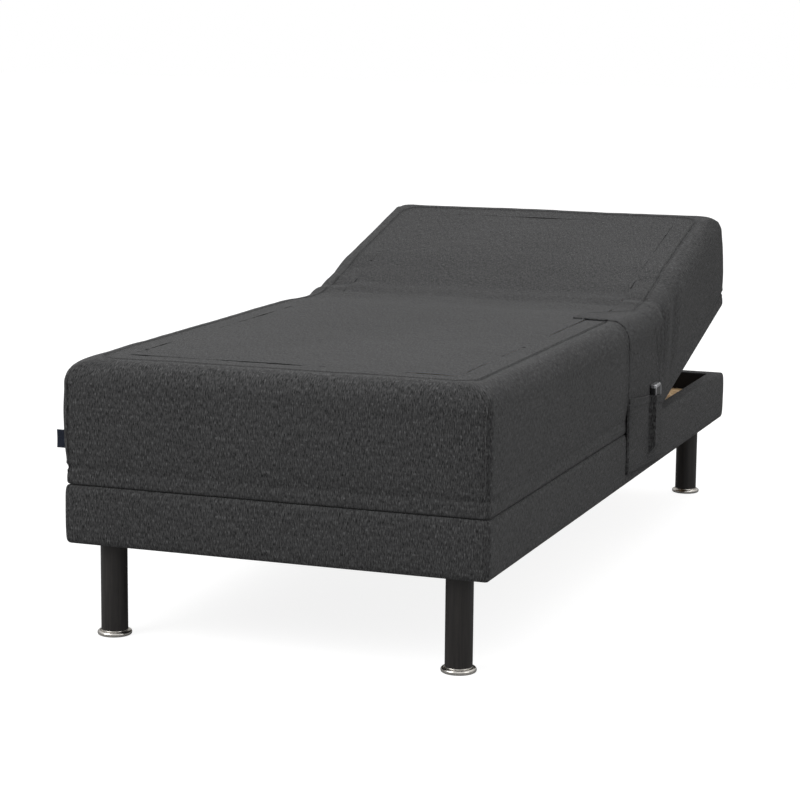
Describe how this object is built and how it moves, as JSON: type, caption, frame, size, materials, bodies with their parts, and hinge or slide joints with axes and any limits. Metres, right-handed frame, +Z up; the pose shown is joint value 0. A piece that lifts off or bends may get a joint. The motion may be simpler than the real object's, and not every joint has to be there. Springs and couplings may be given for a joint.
{
  "type": "adjustable bed base",
  "caption": "Single adjustable bed base: upholstered frame on round legs, sprung back, seat, thigh and calf sections that fold by motor, side pocket with handset.",
  "frame": {"origin": "on the floor, under the middle of the bed", "axes": "+Z up, +Y towards the head end, +X towards the side with the handset pocket"},
  "size_m": [0.9465, 2, 0.7414],
  "materials": {
    "upholstery": "woven charcoal melange",
    "lining": "black lining cloth",
    "timber": "planed softwood",
    "board": "light plywood",
    "leg_wood": "black stain, satin",
    "nickel": "satin nickel",
    "steel": "black powder coat",
    "zinc": "zinc plated",
    "nylon": "natural nylon",
    "drive_plastic": "textured black",
    "foam": "foam and felt",
    "spring": "spun-bond pocket springs",
    "handset_plastic": "satin black",
    "handset_silver": "silver paint",
    "button_plastic": "grey keys",
    "label": "dark navy woven loop"
  },
  "bodies": {
    "base": {"side_rails": "timber", "end_rails": "timber", "rail_covers_side": "upholstery", "rail_covers_end": "upholstery", "glide_runners": "nylon", "corner_blocks": "timber", "leg_bolts": "zinc", "legs": "leg_wood", "leg_glides": "nickel", "head_panel": "board", "panel_ledgers": "timber", "cross_bearers": "timber", "seat_cover": "upholstery", "seat_spring_core": "spring", "seat_deck": "board", "seat_battens": "timber", "back_bend_foam": "foam", "thigh_bend_foam": "foam", "tube_bearings": "nylon", "drive_tray": "drive_plastic", "drive_lid": "drive_plastic", "power_inlet": "drive_plastic", "back_motor": "steel", "thigh_motor": "steel", "caddy_panel": "upholstery", "caddy_pocket": "upholstery"},
    "back": {"back_cover": "upholstery", "back_spring_core": "spring", "back_deck": "board", "back_battens": "timber", "back_torque_frame": "steel"},
    "thigh": {"thigh_cover": "upholstery", "thigh_spring_core": "spring", "thigh_deck": "board", "thigh_battens": "timber", "thigh_torque_frame": "steel", "knee_leaves_thigh": "zinc", "knee_pins": "zinc"},
    "calf": {"calf_cover": "upholstery", "calf_spring_core": "spring", "calf_deck": "board", "calf_battens": "timber", "calf_glides": "nylon", "knee_leaves_calf": "zinc", "label_tab": "label"},
    "back_push": {"back_pusher": "nylon"},
    "thigh_push": {"thigh_pusher": "nylon"},
    "back_screw": {"back_spindle": "zinc"},
    "thigh_screw": {"thigh_spindle": "zinc"},
    "handset": {"handset_shell": "handset_plastic", "handset_cap": "handset_silver"},
    "key_back_up": {"button_back_up": "button_plastic"},
    "key_back_down": {"button_back_down": "button_plastic"},
    "key_legs_up": {"button_legs_up": "button_plastic"},
    "key_legs_down": {"button_legs_down": "button_plastic"},
    "key_both_up": {"button_both_up": "button_plastic"},
    "key_flat": {"button_flat": "button_plastic"}
  },
  "joints": [
    {"name": "back_hinge", "type": "hinge", "parent": "base", "child": "back", "pos_m": [0, 0.286, 0.317], "axis": [1, 0, 0], "range_deg": [-15, 45], "deforming": ["back_bend_foam"]},
    {"name": "thigh_hinge", "type": "hinge", "parent": "base", "child": "thigh", "pos_m": [0, -0.12, 0.317], "axis": [-1, 0, 0], "range_deg": [0, 30], "deforming": ["thigh_bend_foam"]},
    {"name": "knee_hinge", "type": "hinge", "parent": "thigh", "child": "calf", "pos_m": [0, -0.52, 0.317], "axis": [-1, 0, 0], "range_deg": [-54.7, 0]},
    {"name": "back_push_slide", "type": "slide", "parent": "base", "child": "back_push", "axis": [0, 1, 0], "range_m": [-0.0177, 0.0527]},
    {"name": "thigh_push_slide", "type": "slide", "parent": "base", "child": "thigh_push", "axis": [0, -1, 0], "range_m": [-0.0001, 0.0364]},
    {"name": "back_screw_spin", "type": "hinge", "parent": "base", "child": "back_screw", "pos_m": [0, 0.15, 0.252], "axis": [0, 1, 0], "range_deg": [-535, 1585]},
    {"name": "thigh_screw_spin", "type": "hinge", "parent": "base", "child": "thigh_screw", "pos_m": [0, -0.02, 0.252], "axis": [0, -1, 0], "range_deg": [-10, 1097]},
    {"name": "handset_slide", "type": "slide", "parent": "base", "child": "handset", "axis": [0, 0, 1], "range_m": [0, 0.2]},
    {"name": "key_back_up_press", "type": "slide", "parent": "handset", "child": "key_back_up", "axis": [-1, 0, 0], "range_m": [0, 0.001], "stiffness_N_per_m": 300},
    {"name": "key_back_down_press", "type": "slide", "parent": "handset", "child": "key_back_down", "axis": [-1, 0, 0], "range_m": [0, 0.001], "stiffness_N_per_m": 300},
    {"name": "key_legs_up_press", "type": "slide", "parent": "handset", "child": "key_legs_up", "axis": [-1, 0, 0], "range_m": [0, 0.001], "stiffness_N_per_m": 300},
    {"name": "key_legs_down_press", "type": "slide", "parent": "handset", "child": "key_legs_down", "axis": [-1, 0, 0], "range_m": [0, 0.001], "stiffness_N_per_m": 300},
    {"name": "key_both_up_press", "type": "slide", "parent": "handset", "child": "key_both_up", "axis": [-1, 0, 0], "range_m": [0, 0.001], "stiffness_N_per_m": 300},
    {"name": "key_flat_press", "type": "slide", "parent": "handset", "child": "key_flat", "axis": [-1, 0, 0], "range_m": [0, 0.001], "stiffness_N_per_m": 300}
  ],
  "couplings": [
    {"joint": "knee_hinge", "follows": "thigh_hinge", "ratio": -1.82},
    {"joint": "back_push_slide", "follows": "back_hinge", "m_per_rad": 0.066845},
    {"joint": "thigh_push_slide", "follows": "thigh_hinge", "m_per_rad": 0.069203},
    {"joint": "back_screw_spin", "follows": "back_hinge", "ratio": 35},
    {"joint": "thigh_screw_spin", "follows": "thigh_hinge", "ratio": 36.235}
  ]
}
